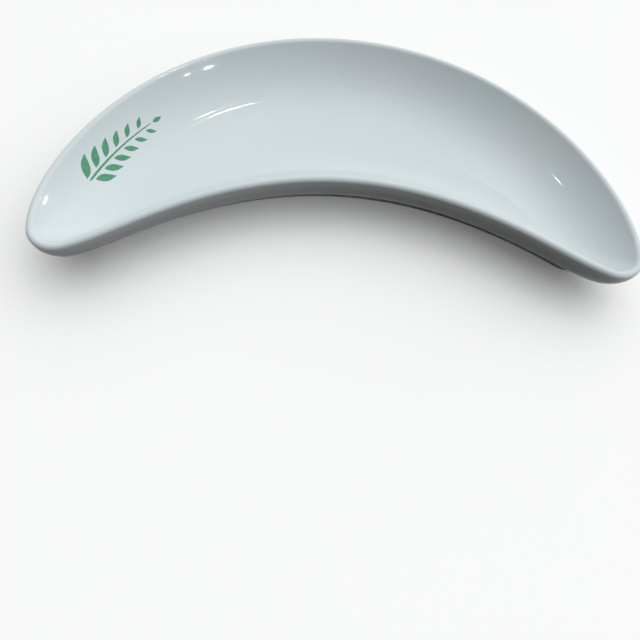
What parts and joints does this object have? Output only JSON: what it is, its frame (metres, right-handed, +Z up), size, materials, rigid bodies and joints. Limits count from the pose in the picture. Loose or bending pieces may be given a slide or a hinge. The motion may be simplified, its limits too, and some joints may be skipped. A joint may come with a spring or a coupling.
{
  "type": "crescent side dish",
  "caption": "Half-moon side dish in white glazed porcelain: shallow bowl with rounded horns, full rim, matching foot ring and a green leaf sprig, made to sit beside a round plate.",
  "frame": {"origin": "on the table plane, below the centre of the rim's outline from side to side and from front to back", "axes": "+X across the dish from horn to horn, to the right when the hollow side of the crescent faces the user; +Y away from the plate, towards the outer side of the crescent; +Z up"},
  "size_m": [0.22, 0.114, 0.023],
  "materials": {
    "porcelain": "fired, unglazed, ground smooth on the standing edge",
    "glaze": "clear glossy glaze over white porcelain",
    "print_green": "fired enamel colour, slightly less glossy than the glaze"
  },
  "bodies": {
    "root": {"porcelain_body": "porcelain", "glaze_coat": "glaze", "underside_glaze": "glaze", "sprig_print": "print_green"}
  },
  "joints": []
}
